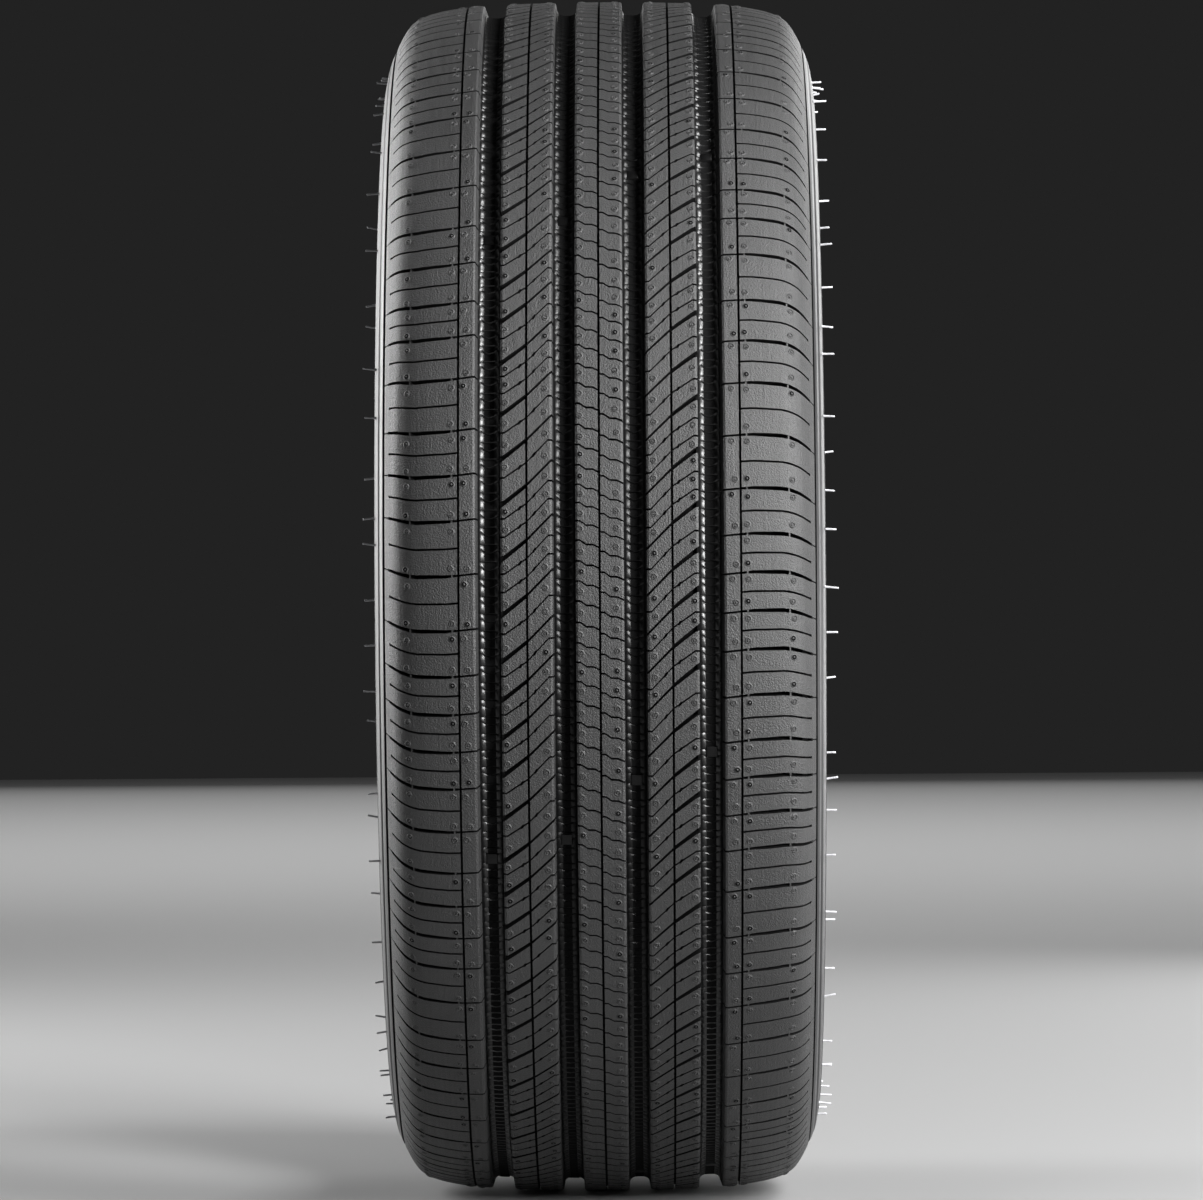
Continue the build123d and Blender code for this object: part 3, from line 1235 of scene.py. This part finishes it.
@dataclass
class VentMarks:
    """Small round marks that the mould's vents leave on the tread, some clear and the others faint."""

    tread: Tread
    centre: CentreRib
    radius: float = 2.1
    height: float = 0.32
    faint_rise: float = 1.1
    stub_rise: float = 1.3
    # Painted shade in the basins of clear and faint marks.
    shades: Point = (0.9, 0.28)
    sides: int = 8
    sharp: float = 1.3
    clear: float = 0.25
    missing: float = 0.06
    jitter: Point = (0.3, 0.2)
    on_shoulder: Table = ((4.3, 100.4), (-4.6, 100.2), (4.1, 77.0), (-4.4, 76.7), (3.9, 68.8), (-4.0, 70.4))
    on_middle_rib: Numbers = (48.7, 28.2)
    on_centre_rib: Table = ((0.6, -9.9), (-8.4, 8.7))
    seed: int = 5

    def build(self) -> Object:
        """Builds all the marks.

        Returns:
            The finished object.
        """
        chance = Random(self.seed)
        spots = []
        for s, u in self._spots():
            if chance.random() > self.missing:
                kind = 0.0 if chance.random() < self.clear else 1.0
                off_s, off_u = [chance.gauss(0, spread) for spread in self.jitter]
                spots.append((s + off_s, u + off_u, kind, 1.0))
        clear, faint = self.shades
        marks = [
            self._mark("clear_mark", self.height, clear),
            self._mark("faint_mark", self.height * self.faint_rise, faint),
        ]
        return self.tread.lay("vent_marks", marks, spots, sharp=self.sharp)

    def _mark(self, name: str, height: float, shade: float) -> Object:
        """Lays out one mark: a low ring with a cut-off stub in it.

        Args:
            name: Its name.
            height: Height of the ring.
            shade: Painted shade in the ring's basin, from 0 to 1.

        Returns:
            The mark.
        """
        # Painted shade: the basin's rings carry the shade, and a clear mark's basin takes the dark shade
        # finish.
        rings = (
            (1.0, -0.04, 0.0), (0.64, height, 0.0), (0.54, 0.02, shade), (0.31, 0.02, shade),
            (0.25, height * self.stub_rise, 0.0),
        )
        points, faces = loft([circle(share * self.radius, self.sides, h) for share, h, _ in rings])
        deep = [dark for _, _, dark in rings for _ in range(self.sides)]
        return Workshop.cell(name, points, faces, deep)

    def _spots(self) -> list[Point]:
        """Lists where the marks can lie.

        Returns:
            Their places (s, u).
        """
        spots = []
        for side in Side:
            way = side.value
            for s, pitch in self.tread.row.cells(side):
                spots += [(s - way * ds, way * self.tread.section.u(v)) for ds, v in self.on_shoulder]
                for i in range(pitch.parts):
                    at = -pitch.length * (i + 0.5) / pitch.parts
                    for v in self.on_middle_rib:
                        spots.append((s - way * (at + blend_between(MiddleRib.slant, -v)), way * v))
        return spots + [(s + ds, u) for s in self.centre.sipes() for ds, u in self.on_centre_rib]


@dataclass
class Casing:
    """Both sidewalls, the beads and the liner between them."""

    sizes: TyreSizes
    tread: Tread
    sectors: int = 288
    line_step: float = 0.8
    sharp: float = 1.1
    seam: float = 2.6
    seam_gap: float = 0.4
    wall_gap: float = 2.4
    liner_gap: float = 7.0
    liner_half: float = 90.0
    liner_rise: float = 60.0
    ridge_clear: float = 0.9
    ridge_top: float = 0.3
    ridges: Sequence[Spot] = (
        (115.4, 303.4, 1.0, -0.8),
        (117.9, 292.0, 0.5, 0.3),
        (118.2, 271.5, 0.5, 0.3),
        (108.6, 255.0, 0.7, 0.35),
        (103.2, 251.6, 0.7, 0.35),
    )

    def build(self) -> Object:
        """Builds the casing.

        Returns:
            The finished object.
        """
        section = self._section()
        step = self.tread.row.turn / self.sectors
        cells = [self._sector(section, step)]
        spots = [(i * step, 0.0, 0.0, 1.0) for i in range(self.sectors)]
        rubbers = SIDEWALL_RUBBER.material(), self.tread.slit_rubber
        return self.tread.lay("casing", cells, spots, rubbers=rubbers, sharp=self.sharp, section=section)

    def _section(self) -> Section:
        """Draws the casing's line from the right parting line round the beads to the left one.

        Returns:
            The line.
        """
        top, seat = self.sizes.outer_radius, self.sizes.seat_radius
        wide, rim = self.sizes.half_section, self.sizes.half_rim
        half = [
            (110.2, top - 27.2), (112.7, top - 26.2), (113.15, top - 26.2), (113.5, top - 26.7),
            (114.4, top - 28.7), (116.0, top - 32.6), (wide - 0.7, top - 40), (wide, top - 50),
            (wide - 0.4, top - 59), (wide - 0.3, seat + 37), (wide, seat + 32.5), (116.6, seat + 28.6),
            (112.0, seat + 25.4), (106.0, seat + 22.2), (102.4, seat + 18.6), (rim, seat + 13),
            (rim, seat + 6.4), (100.2, seat + 2.2), (96.4, seat + 0.15), (92.0, seat), (85.0, seat),
            (82.3, seat + 0.8), (82.6, seat + 3.4), (86.0, seat + 9.5), (91.0, seat + 16.8),
            (98.6, seat + 24.5), (104.2, seat + 31.5), (108.6, seat + 41.0), (110.2, seat + 52),
            (110.0, seat + 62), (107.6, seat + 71.5), (102.0, seat + 79.0), (92.0, seat + 83.6),
            (75.0, seat + 85.3), (40.0, seat + 86.2), (0.0, seat + 86.4),
        ]
        return Section("casing_section", half + [(-v, r) for v, r in half[-2::-1]], self.line_step)

    def _sector(self, section: Section, step: float) -> Object:
        """Lays out one sector of the casing, with its low ridges.

        Args:
            section: The casing's line.
            step: Length of the sector.

        Returns:
            The cell.
        """
        rows: dict[float, float] = {}
        for v, r, width, height in self.ridges:
            top = width * self.ridge_top
            for middle in (section.arc_near(v, r), section.arc_near(-v, r)):
                rows |= {middle - width: 0.0, middle - top: height, middle + top: height, middle + width: 0.0}
        last = 0.0
        for arc, (v, r) in zip(section.arcs, section.line):
            liner = abs(v) < self.liner_half and r > self.sizes.seat_radius + self.liner_rise
            gap = self.liner_gap if liner else self.wall_gap
            if min(arc, section.length - arc) < 2 * self.seam:
                gap = self.seam_gap
            if arc - last >= gap and all(abs(arc - row) > self.ridge_clear for row in rows):
                rows[arc] = 0.0
                last = arc
        rows[0.0] = rows[section.length] = 0.0
        points = [(s, u, rows[u]) for u in sorted(rows) for s in (0.0, step)]
        faces = [[i, i + 1, i + 3, i + 2] for i in range(0, len(points) - 2, 2)]
        # Painted shade: rows within the seam of each parting line take the dark shade finish.
        deep = [1.0 if min(u, section.length - u) < self.seam else 0.0 for _, u, _ in points]
        return Workshop.cell("casing_sector", points, faces, deep)


@dataclass
class VentHairs:
    """Thin rubber hairs that the mould's vents leave on the sidewalls."""

    sizes: TyreSizes
    count: int = 72
    radius: float = 0.6
    sides: int = 6
    rings: Table = ((1.5, 0.0), (1.05, 0.12), (0.97, 0.6), (0.92, 0.97), (0.7, 1.0))
    scatter: float = 0.42
    drop: Point = (38, 56)
    sink: float = 0.9
    lean: float = 0.10
    swing: float = 0.12
    length: Point = (5.6, 7.4)
    seed: int = 11

    def build(self) -> Object:
        """Builds all the hairs.

        Returns:
            The finished object.
        """
        tree = GeoTree("vent_hairs")
        hair, material = tree.input("Hair", "Object"), tree.input("Material", "Material")
        euler = tree.xyz(X=tree.named("lean"), Z=tree.named("swing"))
        scale = tree.xyz(X=1.0, Y=1.0, Z=tree.named("long"))
        placed = tree.spread(tree.shape(hair), euler, scale)
        real = tree.node("GeometryNodeRealizeInstances", {0: placed})
        tree.finish(tree.coat(tree.smooth(real), material))

        chance = Random(self.seed)
        places: list[Triple] = []
        values: dict[str, list[float]] = {"lean": [], "swing": [], "long": []}
        for side in Side:
            for i in range(self.count):
                angle = math.tau * (i + chance.uniform(-self.scatter, self.scatter)) / self.count
                radius = self.sizes.outer_radius - chance.uniform(*self.drop)
                v = side.value * (self.sizes.half_section - self.sink)
                places.append((radius * math.cos(angle), v, radius * math.sin(angle)))
                values["lean"].append(-side.value * math.pi / 2 + chance.gauss(0, self.lean))
                values["swing"].append(chance.gauss(0, self.swing))
                values["long"].append(chance.uniform(*self.length))
        mesh = Workshop.mesh("vent_hairs", places, (), values)
        return Workshop.bake(tree, mesh, {"Hair": self._hair(), "Material": PAINTED_SHEEN_HAIR_RUBBER.material()})

    def _hair(self) -> Object:
        """Lays out one hair of unit length along +Z, with a wider foot."""
        points, faces = loft([circle(share * self.radius, self.sides, h) for share, h in self.rings])
        return Workshop.cell("vent_hair", points, faces, [0.0] * len(points))


@dataclass
class Studio:
    """A plain pale floor, soft lights and a camera that faces the tread."""

    sizes: TyreSizes
    distance: float = 3.9156
    lens: float = 207.37
    yaw: float = 0.336
    roll: float = 0.397
    aim: Point = (0.0183, -0.0318)
    floor_reach: float = 9.0
    floor_gap: float = 0.0005
    floor_grey: float = 0.2
    world_grey: float = 0.016

    def build(self) -> None:
        """Builds the floor, the lights and the camera."""
        self._floor()
        self._light("key", (42, 18, 3.2), (1.0, 1.5), 245)
        self._light("high_right", (66, 50, 3.0), (1.2, 1.2), 120)
        self._light("side_left", (-124, 15, 2.2), (1.2, 1.6), 92)
        self._light("side_right", (150, 12, 2.4), (0.8, 1.6), 34)
        self._light("low_right", (78, -4, 2.0), (0.5, 0.4), 30)
        self._light("back", (180, 4, 8.5), (4.0, 1.0), 24)
        self._light("floor_light", (180, 38, 6.4), (4.0, 6.0), 130, 75)
        self._world()
        self._camera()
        bpy.context.scene.view_settings.view_transform = "Standard"

    def _floor(self) -> None:
        """Lays the floor under the tread."""
        mesh = bpy.data.meshes.new("floor")
        z, reach = -self.sizes.outer_radius * MM - self.floor_gap, self.floor_reach
        mesh.from_pydata([(i * reach, j * reach, z) for i, j in CORNERS], [], [(0, 1, 2, 3)])
        floor = bpy.data.objects.new("floor", mesh)
        material = bpy.data.materials.new("pale_floor")
        material.use_nodes = True
        shader = material.node_tree.nodes["Principled BSDF"]
        shader.inputs["Base Color"].default_value = (self.floor_grey,) * 3 + (1,)
        shader.inputs["Roughness"].default_value = 0.7
        mesh.materials.append(material)
        bpy.context.scene.collection.objects.link(floor)
        floor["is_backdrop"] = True

    def _light(self, name: str, aim: Triple, size: Point, power: float, spread: float = 180.0) -> None:
        """Hangs one soft light that faces the tyre, or the floor below it where its spread is narrow.

        Args:
            name: Its name.
            aim: Its angle to the right of +X, its angle up, and its distance in metres.
            size: Its width and height.
            power: Its power in watts.
            spread: Angle that it spreads over, in degrees.
        """
        across, up = math.radians(aim[0]), math.radians(aim[1])
        way = Vector((math.cos(across) * math.cos(up), math.sin(across) * math.cos(up), math.sin(up)))
        data = bpy.data.lights.new(name, "AREA")
        data.shape = "RECTANGLE"
        data.size, data.size_y = size
        data.energy, data.spread = power, math.radians(spread)
        light = bpy.data.objects.new(name, data)
        light.location = way * aim[2]
        light.visible_camera = False
        facing = -way if spread == 180.0 else Vector((0, 0, -1))
        light.rotation_euler = facing.to_track_quat("-Z", "Y").to_euler()
        bpy.context.scene.collection.objects.link(light)

    def _world(self) -> None:
        """Sets an even, nearly black surround."""
        world = bpy.data.worlds.new("surround")
        world.use_nodes = True
        world.node_tree.nodes["Background"].inputs["Color"].default_value = (self.world_grey,) * 3 + (1,)
        bpy.context.scene.world = world

    def _camera(self) -> None:
        """Places the camera at the height of the axis, with a long lens."""
        data = bpy.data.cameras.new("camera")
        data.lens = self.lens
        data.sensor_width = 36.0
        data.clip_start, data.clip_end = 0.1, 60
        camera = bpy.data.objects.new("camera", data)
        yaw, roll = math.radians(self.yaw), math.radians(-self.roll)
        across, up = [math.radians(angle) for angle in self.aim]
        back = Vector((math.cos(yaw), math.sin(yaw), 0))
        right = Vector((-math.sin(yaw), math.cos(yaw), 0))
        axes = Matrix((right, Vector((0, 0, 1)), back)).transposed().to_4x4()
        turned = Matrix.Rotation(across, 4, "Y") @ Matrix.Rotation(up, 4, "X") @ Matrix.Rotation(roll, 4, "Z")
        camera.matrix_world = Matrix.Translation(back * self.distance) @ axes @ turned
        bpy.context.scene.collection.objects.link(camera)
        bpy.context.scene.camera = camera


def hand_over(piece: Object) -> None:
    """Gives a finished piece to the frame and reports it.

    Args:
        piece: The piece.
    """
    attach(piece, BODY)
    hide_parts(NODE)
    piece.data.calc_loop_triangles()
    LOG.info("%s: %d triangles", piece.name, len(piece.data.loop_triangles))


def write_sizes() -> None:
    """Works out the frame's box and the finished model's box, and keeps neither."""
    bpy.context.view_layer.update()
    boxes = {"cad": CAD_BOX, "visual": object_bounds()}
    {key: [list(corner) for corner in box] for key, box in boxes.items()}


def main() -> None:
    """Builds the tyre's sub-assemblies in order, and the studio round them."""
    logging.basicConfig(level=logging.INFO, format="%(name)s: %(message)s")
    sizes = TyreSizes.from_frame()
    rubbers = TREAD_RUBBER.material(), PAINTED_SHADE_RUBBER.material()
    tread = Tread(TreadSection(sizes), PitchRow(), WrapTree(), *rubbers)
    centre = CentreRib(tread)
    pieces = [ShoulderRib(tread).build(side) for side in Side]
    pieces += [MiddleRib(tread).build(side) for side in Side]
    pieces.append(centre.build())
    pieces += MainGrooves(tread).build()
    pieces.append(VentMarks(tread, centre).build())
    pieces.append(Casing(sizes, tread).build())
    pieces.append(VentHairs(sizes).build())
    for piece in pieces:
        hand_over(piece)
    Workshop.clear()
    Studio(sizes).build()
    write_sizes()


if __name__ == "__main__":
    main()
